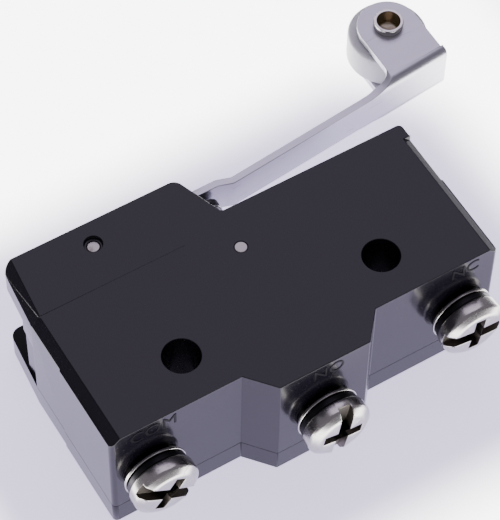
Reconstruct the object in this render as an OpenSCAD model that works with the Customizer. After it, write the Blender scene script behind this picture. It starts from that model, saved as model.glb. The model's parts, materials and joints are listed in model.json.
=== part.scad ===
// Snap-action basic switch with a hinged roller lever and screw terminals.
// The switch lies on its back cover: X runs along the case, Y points from the
// terminals towards the lever, Z rises through the thickness of the case.
// The origin is midway between the two mounting holes, on the back face.

/* [Case] */
// Length of the case
case_l = 49.2; // [47:0.1:51]
// Thickness of the case with its back cover
case_t = 17.45; // [17.2:0.05:19]
// Thickness of the back cover
cover_t = 3.3; // [2.6:0.1:3.4]
// Wall of the case in front of the mechanism
front_wall = 2.5; // [2:0.1:2.8]
// Wall of the case at its ends and round the terminals
side_wall = 1.9; // [1.6:0.1:2]
// Wall of the case under its top
top_wall = 3; // [2.8:0.1:3.2]
// Distance from the mounting holes down to the outer terminals
terminal_drop = 5.56; // [5.3:0.02:6]
// How far the middle terminal stands below the outer ones
middle_drop = 3.28; // [3:0.02:3.6]
// Width of the middle terminal block at its foot
middle_w = 11.7; // [11.4:0.1:12.4]
// Width that each slope of the middle block takes up
middle_slope = 2.6; // [2:0.1:3]
// Distance from the mounting holes up to the top of the case
body_h = 14.04; // [13.9:0.02:14.6]
// Height of the parting line above the mounting holes
parting_h = 12.05; // [11.6:0.05:12.6]
// Radius of the small outer corners
corner_r = 0.6; // [0.3:0.1:1]

/* [Hinge cheeks] */
// Distance from the mounting holes up to the top of the cheeks
cheek_h = 20.3; // [19.9:0.1:20.6]
// Distance from the case's middle to the foot of the cheeks' step
cheek_x = 0.47; // [0:0.01:0.6]
// Lean of the cheeks' step
step_lean = 19; // [10:1:22]
// Lean of the cheeks' outer end
end_lean = 5.5; // [4:0.1:7]
// Radius of the cheeks' upper corners
cheek_r = 1.3; // [0.8:0.1:1.6]
// Height of the slot's floor
slot_floor = 15; // [14.8:0.05:15.1]
// Wall of the front cheek beside the slot
cheek_t = 3.95; // [3.6:0.05:4]

/* [Edges] */
// Width of the bevels down both ends of the front face
bevel_w = 1.1; // [0.6:0.1:1.4]
// Depth of those bevels
bevel_d = 1; // [0.6:0.1:1.2]

/* [Mounting] */
// Distance between the mounting holes
hole_pitch = 25.4; // [25:0.1:26]
// Diameter of the mounting holes
hole_d = 4.3; // [4.2:0.1:4.5]
// Wall round each mounting hole inside the case
hole_wall = 1.55; // [1.2:0.05:1.6]

/* [Pins] */
// Distance of the hinge pin from the case's left end
hinge_end = 10.8; // [10.5:0.1:11]
// Height of the hinge pin above the mounting holes
hinge_y = 17.4; // [17.3:0.05:17.5]
// Diameter of both pins
pin_d = 1.5; // [1.3:0.1:1.6]
// Diameter of the mouth round each end of the hinge pin
pin_mouth_d = 2.1; // [1.9:0.1:2.6]
// Depth of the hinge pin's ends below the faces
pin_sink = 0.55; // [0.3:0.05:0.8]
// Height of the cover pin above the mounting holes
cover_pin_y = 8.79; // [8.7:0.05:9]
// Wall round the cover pin inside the case
pin_wall = 0.35; // [0.3:0.05:0.4]

/* [Lever] */
// Thickness of the lever's sheet
sheet_t = 0.95; // [0.8:0.05:1]
// Width of the lever's strip
strip_w = 4.5; // [4.2:0.1:4.8]
// Height of the strip's underside above the hinge pin
web_rise = 3.8; // [3.7:0.05:4]
// How far the strip drops in its joggle
joggle_drop = 0.59; // [0.3:0.01:0.8]
// Slope of the strip beyond the joggle
strip_slope = 5.6; // [5:0.1:6]
// Distance from the hinge pin to the roller's axis
roller_reach = 47.35; // [46.9:0.05:47.6]
// Height of the roller's axis above the hinge pin
roller_rise = 12.98; // [12.8:0.02:13.4]
// Half width of the ears that hold the roller
ear_r = 3.75; // [3.5:0.05:3.8]
// Width over the roller's ears
ear_w = 6.75; // [6.5:0.05:7]
// Radius of the lever's hinge ears
hinge_ear_r = 2.1; // [1.8:0.1:2.1]
// Outer radius of the lever's folds
fold_r = 1.1; // [1.05:0.05:1.4]
// Radius where the ears' edges run into the strip
ear_fillet = 1.5; // [0.8:0.1:2]
// How far the strip runs on past the roller's ears
tip_over = 0.4; // [0.2:0.1:0.8]
// Length over which the strip flares out to the roller's ears
flare_l = 4.5; // [3:0.1:6]

/* [Roller] */
// Diameter of the roller
roller_d = 9.6; // [9:0.1:9.8]
// Width of the roller
roller_w = 4.3; // [4:0.1:4.4]
// Diameter of the rivet's shank
rivet_d = 3.4; // [3.2:0.1:3.5]
// Bore of the rivet's hollow end
rivet_bore = 2.85; // [2.4:0.05:2.9]
// Height of the rivet's collar above the ear
rivet_stand = 0.95; // [0.7:0.05:1.1]

/* [Plunger] */
// Distance of the plunger from the case's middle
plunger_x = 2.4; // [2.4:0.05:2.7]
// Diameter of the plunger's cap
cap_d = 3.2; // [3:0.1:3.4]
// Height of the plunger's cap with its dome
cap_h = 1.05; // [0.9:0.05:1.3]
// Radius of the cap's dome
dome_r = 2.5; // [2.2:0.1:4]
// Diameter of the plunger's stem
stem_d = 2; // [1.8:0.1:2.1]
// Height of the guide boss on top of the case
boss_h = 1.56; // [1.2:0.02:1.8]
// Wire of the return spring
spring_wire = 0.4; // [0.3:0.05:0.45]
// Wire of the overtravel spring
inner_wire = 0.25; // [0.2:0.05:0.3]
// Turns of the return spring
spring_turns = 4.5; // [3.5:0.5:5.5]

/* [Contacts] */
// Height of the snap blade above the mounting holes
blade_y = 6.6; // [6.5:0.05:6.65]
// Thickness of the snap blade
blade_t = 0.25; // [0.2:0.01:0.3]
// Width of the snap blade
blade_w = 6; // [5:0.1:6.4]
// Distance of the contacts from the case's middle
contact_x = 15.5; // [15:0.1:16]
// Diameter of the contact heads
contact_d = 3.2; // [2.8:0.1:3.4]
// Height of the moving contact's heads
contact_h = 0.6; // [0.5:0.02:0.7]
// Open gap between the moving contact and the lower fixed contact
contact_gap = 0.55; // [0.45:0.01:0.6]
// Thickness of the terminal strips
strip_t = 1; // [0.8:0.05:1]

/* [Terminals] */
// Distance of the outer terminal screws from the case's ends
terminal_end = 4.8; // [4.6:0.1:5.1]
// Diameter of the terminal screws' shanks
screw_d = 3.9; // [3.5:0.1:4]
// Diameter of the screw heads
head_d = 7.9; // [7.6:0.1:8.4]
// Height of the screw heads
head_h = 2.3; // [2:0.1:2.6]
// Length of the screw shanks under the head
shank_l = 6.2; // [5.6:0.1:6.4]
// Diameter of the flat washers
washer_d = 7.6; // [7.2:0.1:8.2]
// Thickness of the flat washers
washer_t = 0.7; // [0.5:0.05:0.8]
// Diameter of the lock washers
lock_d = 7.4; // [6.8:0.1:7.6]
// Thickness of the lock washers
lock_t = 0.95; // [0.8:0.05:1.1]
// Diameter of the threaded terminal bushes
bush_d = 6.6; // [6:0.1:7]
// How far the bushes stand out of the case
bush_stand = 0.35; // [0.2:0.05:0.4]
// Width of the slot and the cross in the screw heads
drive_w = 1.3; // [1:0.1:1.4]
// Turn of the left screw
com_turn = 20; // [0:5:175]
// Turn of the middle screw
no_turn = 55; // [0:5:175]
// Turn of the right screw
nc_turn = 25; // [0:5:175]

/* [Fits] */
// Radial clearance of parts that turn or slide
run_gap = 0.05; // [0.03:0.01:0.1]
// Clearance between faces that stay apart
face_gap = 0.06; // [0.04:0.01:0.1]
// Gap between the lever's hinge ears and the cheeks
ear_side_gap = 0.35; // [0.2:0.05:0.5]
// Width of the witness grooves
groove = 0.14; // [0.1:0.02:0.2]

/* [Hidden] */
$fn = 48;
eps = 0.01;

end_x = case_l / 2;
hinge_x = hinge_end - end_x;
terminal_pitch = end_x - terminal_end;
boss_r = hole_d / 2 + hole_wall;
boss_edge = hole_pitch / 2 + boss_r;
slot_top = case_t - cheek_t;
lever_z = (cover_t + slot_top) / 2;
terminal_z = case_t / 2;
chamber_top = case_t - front_wall;
chamber_x = end_x - side_wall + 0.4;
ceiling = body_h - top_wall;
outer_face = -terminal_drop;
middle_face = outer_face - middle_drop;
cheek_left = -end_x + 0.1 + (cheek_h - parting_h) * tan(end_lean);
cheek_right = cheek_x - (cheek_h - body_h) * tan(step_lean);

// Points of an arc, counter-clockwise when a1 is the larger angle
function arc(cx, cy, r, a0, a1, n = 8) =
    [for (i = [0:n]) let (a = a0 + (a1 - a0) * i / n) [cx + r * cos(a), cy + r * sin(a)]];

// Outline of the case, counter-clockwise from its lower left corner
function case_outline() = concat(
    arc(-end_x + corner_r, outer_face + corner_r, corner_r, 180, 270),
    [[-middle_w / 2 - middle_slope, outer_face]],
    arc(-middle_w / 2 + corner_r / 2, middle_face + corner_r / 2, corner_r / 2, 232, 270, 3),
    arc(middle_w / 2 - corner_r / 2, middle_face + corner_r / 2, corner_r / 2, 270, 308, 3),
    [[middle_w / 2 + middle_slope, outer_face]],
    arc(end_x - corner_r, outer_face + corner_r, corner_r, 270, 360),
    [[end_x, 5.6], [end_x - 0.15, 5.75]],
    [[end_x - 0.15, parting_h], [end_x - 0.3, parting_h + 0.15]],
    arc(end_x - 0.3 - corner_r, body_h - corner_r, corner_r, 0, 90),
    [[cheek_x + 0.5, body_h]],
    arc(cheek_x + 0.5, body_h + 0.5, 0.5, 270, 180 + step_lean, 4),
    arc(cheek_right - cheek_r * tan((90 - step_lean) / 2), cheek_h - cheek_r, cheek_r, step_lean, 90),
    arc(cheek_left + cheek_r * tan((90 - end_lean) / 2), cheek_h - cheek_r, cheek_r, 90, 180 - end_lean),
    [[-end_x + 0.1, parting_h], [-end_x + 0.1, 5.75], [-end_x, 5.6]]
);

module outline(z0, z1) {
    translate([0, 0, z0]) linear_extrude(z1 - z0) polygon(case_outline());
}

// A hole or rod along Z
module along_z(x, y, d, z0, z1) {
    translate([x, y, z0]) cylinder(d = d, h = z1 - z0);
}

// A hole or rod along Y, from y0 to y1
module along_y(x, y0, y1, z, d) {
    translate([x, y0, z]) rotate([-90, 0, 0]) cylinder(d = d, h = y1 - y0);
}

// A box given by its two corners
module box(a, b) {
    translate(a) cube(b - a);
}

// Bevel along one end of the front face; dir is -1 for the left, 1 for the right
module end_bevel(dir, x, y0, y1, lean = 0) {
    translate([x, y0, case_t]) rotate([0, 0, lean]) rotate([-90, 0, 0])
        linear_extrude(y1 - y0)
            polygon([[-dir * bevel_w, -1], [dir * 2, -1], [dir * 2, bevel_d], [0, bevel_d], [-dir * bevel_w, 0]]);
}

module mounting_holes(z0, z1) {
    for (side = [-1, 1]) along_z(side * hole_pitch / 2, 0, hole_d, z0, z1);
}

/* ---------- housing ---------- */

module chamber() {
    difference() {
        union() {
            box([-chamber_x, outer_face + side_wall, cover_t - eps], [chamber_x, ceiling, chamber_top]);
            box([-middle_w / 2 + 1, middle_face + side_wall, cover_t - eps],
                [middle_w / 2 - 1, outer_face + side_wall + eps, chamber_top]);
        }
        for (side = [-1, 1])
            along_z(side * hole_pitch / 2, 0, 2 * boss_r, 0, case_t);
        along_z(0, cover_pin_y, pin_d + 2 * pin_wall, 0, case_t);
    }
}

// Mouths in the terminal faces for the three bushes
module bush_mouths() {
    for (i = [-1:1]) let (face = i == 0 ? middle_face : outer_face)
        along_y(i * terminal_pitch, face - eps, face + side_wall + eps, terminal_z, bush_d + 2 * eps);
}

module case() {
    color([0.10, 0.09, 0.12]) difference() {
        union() {
            outline(cover_t, case_t);
            along_y(plunger_x, body_h - 0.5, body_h + boss_h, lever_z, cap_d + 1.2);
        }
        chamber();
        // lever slot between the cheeks, open at both ends and at the top
        box([-case_l, slot_floor, cover_t - eps], [plunger_x - cap_d / 2 - 0.6, cheek_h + 1, slot_top]);
        box([-case_l, parting_h + 0.3, cover_t - eps], [-end_x + 0.6, slot_floor + eps, slot_top - 1.9]);
        along_y(plunger_x, ceiling - eps, body_h + boss_h + eps, lever_z, stem_d + 2 * run_gap);
        bush_mouths();
        mounting_holes(0, case_t + 1);
        along_z(0, cover_pin_y, pin_d, 0, case_t + 1);
        along_z(hinge_x, hinge_y, pin_d, 0, case_t + 1);
        along_z(hinge_x, hinge_y, pin_mouth_d, case_t - pin_sink, case_t + 1);
        end_bevel(-1, -end_x + 0.1, outer_face - 1, parting_h);
        end_bevel(-1, -end_x + 0.1, parting_h - 0.1, cheek_h + 1, -end_lean);
        end_bevel(1, end_x - 0.1, outer_face - 1, parting_h);
        // witness groove of the mould's parting line
        box([-end_x - 1, parting_h - groove / 2, case_t - groove], [-5.2, parting_h + groove / 2, case_t + 1]);
    }
}

module back_cover() {
    color([0.11, 0.10, 0.13]) difference() {
        outline(0, cover_t);
        mounting_holes(-1, cover_t);
        along_z(0, cover_pin_y, pin_d, 0.8, cover_t);
        along_z(hinge_x, hinge_y, pin_d, -1, cover_t);
        along_z(hinge_x, hinge_y, pin_mouth_d, -1, pin_sink);
    }
}

module hinge_pin() {
    color([0.80, 0.79, 0.80]) along_z(hinge_x, hinge_y, pin_d, pin_sink, case_t - pin_sink);
}

module cover_pin() {
    color([0.80, 0.79, 0.80]) along_z(0, cover_pin_y, pin_d, 0.8, case_t);
}

/* ---------- lever and roller ---------- */

web_y = hinge_y + web_rise;
joggle_x = plunger_x + cap_d / 2 + 0.5;
slope_x = joggle_x + 1.8;
roller_x = hinge_x + roller_reach;
roller_y = hinge_y + roller_rise;
ear_x = roller_x - ear_r;
ear_end = roller_x + ear_r;
tip_x = ear_end + tip_over;
neck_x = hinge_x + 5.8;
hinge_ear_w = slot_top - cover_t - 2 * ear_side_gap;

// Height of the strip's underside at x, beyond the joggle
function strip_y(x) = web_y - joggle_drop + (x - slope_x) * tan(strip_slope);

// Side view of the strip, from x0 to the tip
module strip_side(x0) {
    polygon([
        [x0, web_y], [joggle_x, web_y], [slope_x, strip_y(slope_x)], [tip_x, strip_y(tip_x)],
        [tip_x, strip_y(tip_x) + sheet_t], [slope_x + 0.1, strip_y(slope_x) + sheet_t],
        [joggle_x + 0.1, web_y + sheet_t], [x0, web_y + sheet_t]
    ]);
}

// Section of the folded sheet, a U of outer width w and height h: x is the height, y the width
function u_outline(w, h, r) = concat(
    arc(r, -w / 2 + r, r, 270, 180, 6),
    arc(r, w / 2 - r, r, 180, 90, 6),
    [[h, w / 2], [h, -w / 2]]
);

// A length l of the folded sheet, running along X from the origin
module channel(w, h, l) {
    rotate([90, 0, 90]) linear_extrude(l) difference() {
        polygon(u_outline(w, h, fold_r));
        translate([sheet_t, 0]) polygon(u_outline(w - 2 * sheet_t, h, fold_r - sheet_t));
    }
}

// Flat ear outlines and plans are drawn thick enough to trim the channels
module side_trim() {
    translate([0, 0, -case_t]) linear_extrude(3 * case_t) children();
}

module plan_trim() {
    translate([0, 3 * cheek_h, lever_z]) rotate([90, 0, 0]) linear_extrude(4 * cheek_h) children();
}

// Edge that flares out by rise over a length run, tangent to the strip at x
function flare(x, half, run, rise, dir) = let (r = (run * run + rise * rise) / (2 * rise), a = asin(run / r))
    [for (i = [0:6]) [x + r * sin(a * i / 6), dir * (half + r - r * cos(a * i / 6))]];

module tip_side() {
    foot = strip_y(ear_x) + sheet_t;
    polygon(concat(
        [[ear_x - flare_l, 0], [tip_x, 0], [tip_x, strip_y(tip_x) + sheet_t]],
        [[ear_end, strip_y(tip_x) + sheet_t], [ear_end, roller_y]],
        arc(roller_x, roller_y, ear_r, 0, 180, 24),
        arc(ear_x - ear_fillet, foot + ear_fillet, ear_fillet, 360, 270),
        [[ear_x - flare_l, strip_y(ear_x - flare_l) + sheet_t]]
    ));
}

module tip_plan() {
    rise = (ear_w - strip_w) / 2;
    lower = flare(ear_x - flare_l, strip_w / 2, flare_l, rise, -1);
    upper = flare(ear_x - flare_l, strip_w / 2, flare_l, rise, 1);
    corner = ear_w / 2 - tip_over;
    polygon(concat(
        lower, arc(ear_end, -corner, tip_over, 270, 360, 4), arc(ear_end, corner, tip_over, 0, 90, 4),
        [for (i = [6:-1:0]) upper[i]]
    ));
}

// Upturned ears that hold the roller
module roller_ears() {
    intersection() {
        translate([ear_x - flare_l, strip_y(ear_x - flare_l), lever_z]) rotate([0, 0, strip_slope])
            channel(ear_w, 2 * roller_rise, 2 * ear_r + flare_l + tip_over + 1);
        side_trim() tip_side();
        plan_trim() tip_plan();
    }
}

module root_side() {
    r = hinge_ear_r;
    polygon(concat(
        [[hinge_x - r, web_y + sheet_t + 1], [neck_x, web_y + sheet_t + 1], [neck_x, web_y]],
        arc(hinge_x + r + ear_fillet, web_y - ear_fillet, ear_fillet, 90, 180),
        arc(hinge_x, hinge_y, r, 360, 180, 24)
    ));
}

module root_plan() {
    half = hinge_ear_w / 2;
    polygon([
        [hinge_x - hinge_ear_r, -half], [hinge_x + hinge_ear_r + 1.2, -half], [neck_x, -strip_w / 2],
        [neck_x, strip_w / 2], [hinge_x + hinge_ear_r + 1.2, half], [hinge_x - hinge_ear_r, half]
    ]);
}

// Downturned ears that turn on the hinge pin
module hinge_ears() {
    intersection() {
        translate([hinge_x - hinge_ear_r, web_y + sheet_t, lever_z]) rotate([180, 0, 0])
            channel(hinge_ear_w, 2 * web_rise, neck_x - hinge_x + hinge_ear_r);
        side_trim() root_side();
        plan_trim() root_plan();
    }
}

module lever() {
    color([0.72, 0.71, 0.75]) difference() {
        union() {
            translate([0, 0, lever_z - strip_w / 2]) linear_extrude(strip_w)
                strip_side(hinge_x - hinge_ear_r);
            roller_ears();
            hinge_ears();
        }
        along_z(hinge_x, hinge_y, pin_d + 2 * run_gap, 0, case_t);
        along_z(roller_x, roller_y, rivet_d, 0, case_t);
    }
}

module roller() {
    edge = 0.35;
    color([0.90, 0.90, 0.88]) translate([roller_x, roller_y, lever_z - roller_w / 2])
        rotate_extrude($fn = 96) polygon([
            [rivet_d / 2 + run_gap, 0], [roller_d / 2 - edge, 0], [roller_d / 2, edge],
            [roller_d / 2, roller_w - edge], [roller_d / 2 - edge, roller_w],
            [rivet_d / 2 + run_gap, roller_w]
        ]);
}

// Rivet through the ears: hollow, flared collar in front, domed head behind
module roller_rivet() {
    half = ear_w / 2;
    lip = half + rivet_stand;
    shank_r = rivet_d / 2;
    back_r = shank_r + 1.05;
    bore_r = rivet_bore / 2;
    color([0.78, 0.77, 0.76]) translate([roller_x, roller_y, lever_z])
        rotate_extrude() polygon(concat(
            [for (a = [0:15:75]) [back_r * sin(a), -half - rivet_stand * cos(a)]],
            [[back_r, -half], [shank_r, -half], [shank_r, half], [shank_r, half + 0.3]],
            [[shank_r + 0.13, lip - 0.25], [shank_r + 0.08, lip - 0.06]],
            [[shank_r - 0.08, lip], [bore_r + 0.04, lip - 0.06]],
            [[bore_r, lip - 0.3], [bore_r, half - 1.3], [0, half - 1.7]]
        ));
}

/* ---------- plunger and springs ---------- */

cap_top = web_y - face_gap;
cap_foot = cap_top - cap_h;
stem_end = ceiling - 0.6;
pilot_r = stem_d / 2 - 0.35;
flange_r = stem_d / 2 + 0.25;

module plunger() {
    dome_a = asin(cap_d / 2 / dome_r);
    color([0.13, 0.12, 0.14]) translate([plunger_x, 0, lever_z]) rotate([-90, 0, 0])
        rotate_extrude() polygon(concat(
            [[0, stem_end - 0.5], [pilot_r, stem_end - 0.5], [pilot_r, stem_end], [flange_r, stem_end]],
            [[flange_r, stem_end + 0.5], [stem_d / 2, stem_end + 0.5], [stem_d / 2, cap_foot]],
            [[cap_d / 2, cap_foot]],
            arc(0, cap_top - dome_r, dome_r, 90 - dome_a, 90)
        ));
}

// A coil of round wire along Y from y0 to y1, closed by flat ends
module coil(x, y0, y1, z, coil_r, wire, turns) {
    sides = 8;
    steps = round(turns * 16);
    rise = y1 - y0 - wire;
    rings = [for (i = [0:steps]) let (a = 360 * turns * i / steps, y = y0 + wire / 2 + rise * i / steps)
        for (k = [0:sides - 1]) let (b = 360 * k / sides, r = coil_r + wire / 2 * cos(b))
            [x + r * cos(a), y + wire / 2 * sin(b), z + r * sin(a)]];
    skin = [for (i = [0:steps - 1]) for (k = [0:sides - 1]) let (n = (k + 1) % sides)
        [i * sides + k, i * sides + n, (i + 1) * sides + n, (i + 1) * sides + k]];
    first = [for (k = [0:sides - 1]) sides - 1 - k];
    last = [for (k = [0:sides - 1]) steps * sides + k];
    polyhedron(points = rings, faces = concat([first], skin, [last]), convexity = 6);
}

module return_spring() {
    color([0.75, 0.75, 0.77])
        coil(plunger_x, body_h + boss_h + face_gap / 2, cap_foot - face_gap / 2, lever_z,
            stem_d / 2 + 0.2 + spring_wire / 2, spring_wire, spring_turns);
}

module overtravel_spring() {
    color([0.75, 0.75, 0.77])
        coil(plunger_x, blade_y + blade_t / 2 + face_gap / 2, stem_end - face_gap / 2, lever_z,
            pilot_r + 0.1 + inner_wire / 2, inner_wire, 3.5);
}

/* ---------- contacts ---------- */

blade_end = contact_x + contact_d / 2 + 0.2;
blade_root = -end_x + 4;
blade_low = blade_y - blade_t / 2;
blade_high = blade_y + blade_t / 2;
window_l = plunger_x - 1.4;
tongue_root = -12.5;
tongue_sag = 1.6;

module snap_blade() {
    chord = window_l - tongue_root;
    bow_r = (chord * chord / 4 + tongue_sag * tongue_sag) / (2 * tongue_sag);
    bow_y = blade_y - tongue_sag + bow_r;
    color([0.80, 0.55, 0.30]) difference() {
        union() {
            difference() {
                box([blade_root, blade_low, lever_z - blade_w / 2], [blade_end, blade_high, lever_z + blade_w / 2]);
                box([-16, blade_low - 1, lever_z - 1.4], [window_l, blade_high + 1, lever_z + 1.4]);
            }
            // bowed tongue that snaps the blade over
            intersection() {
                difference() {
                    along_z((window_l + tongue_root) / 2, bow_y, 2 * bow_r + blade_t, lever_z - 1.1, lever_z + 1.1);
                    along_z((window_l + tongue_root) / 2, bow_y, 2 * bow_r - blade_t, 0, case_t);
                }
                box([tongue_root, blade_y - 3, 0], [window_l + 0.3, blade_high, case_t]);
            }
        }
        along_y(contact_x, blade_low - 1, blade_high + 1, lever_z, contact_d / 2);
    }
}

// Rivet contact with a head on both sides of the blade
module moving_contact() {
    color([0.85, 0.84, 0.82]) {
        along_y(contact_x, blade_low - contact_h, blade_low, lever_z, contact_d);
        along_y(contact_x, blade_low, blade_high, lever_z, contact_d / 2);
        along_y(contact_x, blade_high, blade_high + contact_h, lever_z, contact_d);
    }
}

no_contact_y = blade_low - contact_h - contact_gap;
nc_contact_y = blade_high + contact_h + face_gap / 2;
no_strip_y = no_contact_y - 0.5;
nc_strip_y = nc_contact_y + 1;

module no_contact() {
    color([0.85, 0.84, 0.82]) {
        along_y(contact_x, no_strip_y, no_contact_y, lever_z, contact_d);
        along_y(contact_x, no_strip_y - strip_t, no_strip_y, lever_z, contact_d / 2);
    }
}

module nc_contact() {
    color([0.85, 0.84, 0.82]) {
        along_y(contact_x, nc_contact_y, nc_strip_y, lever_z, contact_d);
        along_y(contact_x, nc_strip_y, nc_strip_y + strip_t, lever_z, contact_d / 2);
    }
}

// Bush and foot that every terminal starts from
module terminal_foot(x, face, x0, x1) {
    inner = face + side_wall;
    along_y(x, face - bush_stand, inner + eps, terminal_z, bush_d);
    box([x0, inner, terminal_z - 3], [x1, inner + strip_t, terminal_z + 3]);
}

module terminal_thread(x, face) {
    along_y(x, face - 1, face + side_wall + strip_t + 1, terminal_z, screw_d + 2 * run_gap);
}

module com_terminal() {
    x = -terminal_pitch;
    wall = -chamber_x + face_gap;
    seat = blade_low - face_gap;
    anchor = tongue_root - face_gap;
    color([0.80, 0.64, 0.28]) difference() {
        union() {
            terminal_foot(x, outer_face, wall, 0.2 - boss_edge);
            box([wall, outer_face + side_wall, lever_z - 3], [wall + strip_t, seat, lever_z + 3]);
            box([wall, seat - strip_t, lever_z - 3], [blade_root + 3, seat, lever_z + 3]);
            box([wall, seat - strip_t, lever_z - 1], [anchor, seat, lever_z + 1]);
            box([anchor - strip_t, seat - strip_t, lever_z - 1], [anchor, blade_y + 0.5, lever_z + 1]);
        }
        terminal_thread(x, outer_face);
    }
}

module no_terminal() {
    riser = 3.4;
    color([0.80, 0.64, 0.28]) difference() {
        union() {
            terminal_foot(0, middle_face, -3.6, riser + strip_t);
            box([riser, middle_face + side_wall, lever_z - 3], [riser + strip_t, no_strip_y, lever_z + 3]);
            box([riser, no_strip_y - strip_t, lever_z - 3], [blade_end, no_strip_y, lever_z + 3]);
        }
        terminal_thread(0, middle_face);
        along_y(contact_x, no_strip_y - 2, no_strip_y + 1, lever_z, contact_d / 2);
    }
}

module nc_terminal() {
    x = terminal_pitch;
    wall = chamber_x - face_gap;
    color([0.80, 0.64, 0.28]) difference() {
        union() {
            terminal_foot(x, outer_face, boss_edge, wall);
            box([wall - strip_t, outer_face + side_wall, lever_z - 3], [wall, nc_strip_y + strip_t, lever_z + 3]);
            box([contact_x - 2, nc_strip_y, lever_z - 3], [wall, nc_strip_y + strip_t, lever_z + 3]);
        }
        terminal_thread(x, outer_face);
        along_y(contact_x, nc_strip_y - 1, nc_strip_y + 2, lever_z, contact_d / 2);
    }
}

/* ---------- terminal screws ---------- */

// Distances below the terminal's face, measured outwards
washer_base = bush_stand;
lock_base = washer_base + washer_t;
head_base = lock_base + lock_t;

// Screw with a pan head, a full slot and a shorter cross
module screw(x, face, turn) {
    r = head_d / 2;
    color([0.80, 0.79, 0.80]) translate([x, face - head_base, terminal_z]) rotate([90, 0, 0])
        difference() {
            rotate_extrude() polygon([
                [0, -shank_l], [screw_d / 2 - 0.5, -shank_l], [screw_d / 2, -shank_l + 0.5], [screw_d / 2, 0],
                [r, 0], [r, 0.45 * head_h], [0.96 * r, 0.62 * head_h], [0.86 * r, 0.8 * head_h],
                [0.68 * r, 0.93 * head_h], [0.4 * r, 0.99 * head_h], [0, head_h]
            ]);
            rotate([0, 0, turn]) {
                translate([-r - 1, -drive_w / 2, 0.48 * head_h]) cube([2 * r + 2, drive_w, head_h]);
                translate([-drive_w / 2, -0.62 * r, 0.35 * head_h]) cube([drive_w, 1.24 * r, head_h]);
                translate([0, 0, 0.2 * head_h]) cylinder(d = 1.6 * drive_w, h = head_h);
            }
        }
}

// Split spring washer, cut through by a slanted gap
module lock_washer(x, face) {
    color([0.30, 0.29, 0.30]) translate([x, face - lock_base, terminal_z]) rotate([90, 0, 0])
        difference() {
            cylinder(d = lock_d, h = lock_t);
            translate([0, 0, -1]) cylinder(d = screw_d + 0.3, h = lock_t + 2);
            rotate([0, 0, 130]) translate([0, 0, lock_t / 2]) rotate([25, 0, 0])
                translate([0, -0.35, -3]) cube([lock_d, 0.7, 6]);
        }
}

module flat_washer(x, face) {
    edge = 0.12;
    color([0.78, 0.78, 0.79]) translate([x, face - washer_base, terminal_z]) rotate([90, 0, 0])
        rotate_extrude() polygon([
            [screw_d / 2 + 0.1, 0], [washer_d / 2 - edge, 0], [washer_d / 2, edge],
            [washer_d / 2, washer_t - edge], [washer_d / 2 - edge, washer_t], [screw_d / 2 + 0.1, washer_t]
        ]);
}

module com_screw() { screw(-terminal_pitch, outer_face, com_turn); }
module no_screw() { screw(0, middle_face, no_turn); }
module nc_screw() { screw(terminal_pitch, outer_face, nc_turn); }
module com_lock_washer() { lock_washer(-terminal_pitch, outer_face); }
module no_lock_washer() { lock_washer(0, middle_face); }
module nc_lock_washer() { lock_washer(terminal_pitch, outer_face); }
module com_washer() { flat_washer(-terminal_pitch, outer_face); }
module no_washer() { flat_washer(0, middle_face); }
module nc_washer() { flat_washer(terminal_pitch, outer_face); }

case();
back_cover();
hinge_pin();
cover_pin();
lever();
roller();
roller_rivet();
plunger();
return_spring();
overtravel_spring();
snap_blade();
moving_contact();
no_contact();
nc_contact();
com_terminal();
no_terminal();
nc_terminal();
com_screw();
no_screw();
nc_screw();
com_lock_washer();
no_lock_washer();
nc_lock_washer();
com_washer();
no_washer();
nc_washer();
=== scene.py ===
"""Finishes a snap-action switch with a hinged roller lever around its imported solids, on a pale floor."""

import json
import math

import bmesh
import bpy
from bpy.props import FloatProperty, FloatVectorProperty, IntProperty, PointerProperty
from mathutils import Matrix, Vector

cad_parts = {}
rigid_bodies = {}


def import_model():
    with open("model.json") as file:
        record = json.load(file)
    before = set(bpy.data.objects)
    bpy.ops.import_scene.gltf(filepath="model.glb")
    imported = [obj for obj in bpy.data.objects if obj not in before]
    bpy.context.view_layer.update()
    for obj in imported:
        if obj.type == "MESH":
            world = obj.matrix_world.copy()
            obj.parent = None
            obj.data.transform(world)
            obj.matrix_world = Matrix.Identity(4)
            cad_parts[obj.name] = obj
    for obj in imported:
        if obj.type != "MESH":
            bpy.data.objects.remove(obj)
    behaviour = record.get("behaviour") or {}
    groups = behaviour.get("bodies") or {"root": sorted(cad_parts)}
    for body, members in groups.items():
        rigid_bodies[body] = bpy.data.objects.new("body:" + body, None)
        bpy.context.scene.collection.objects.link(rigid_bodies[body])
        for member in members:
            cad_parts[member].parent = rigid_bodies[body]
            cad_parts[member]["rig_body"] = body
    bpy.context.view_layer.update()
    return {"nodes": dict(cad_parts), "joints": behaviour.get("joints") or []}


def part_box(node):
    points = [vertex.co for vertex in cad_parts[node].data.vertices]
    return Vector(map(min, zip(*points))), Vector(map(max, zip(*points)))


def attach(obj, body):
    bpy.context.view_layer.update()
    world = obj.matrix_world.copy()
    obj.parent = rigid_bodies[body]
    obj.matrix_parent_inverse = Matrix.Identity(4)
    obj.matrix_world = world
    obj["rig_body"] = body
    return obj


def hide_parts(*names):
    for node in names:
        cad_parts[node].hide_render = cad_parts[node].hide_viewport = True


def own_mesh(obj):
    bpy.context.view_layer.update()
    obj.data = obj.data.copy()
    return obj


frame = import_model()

bl_info = {
    "name": "Lever Switch Finishes",
    "version": (1, 0, 0),
    "blender": (4, 5, 0),
    "location": "3D View > Sidebar > Switch",
    "description": "Builds the finished pieces of a hinged roller lever switch and its studio",
    "category": "Object",
}

MM = 0.001
JOINTS = {joint["name"]: joint for joint in frame["joints"]}
TERMINALS = ("com", "no", "nc")

# Turn of each screw's slot from +X, and of each lock washer's gap, in degrees.
SCREW_TURNS = {"com": 145, "no": 80, "nc": 172}
LOCK_GAPS = {"com": 230, "no": 250, "nc": 210}

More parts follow.
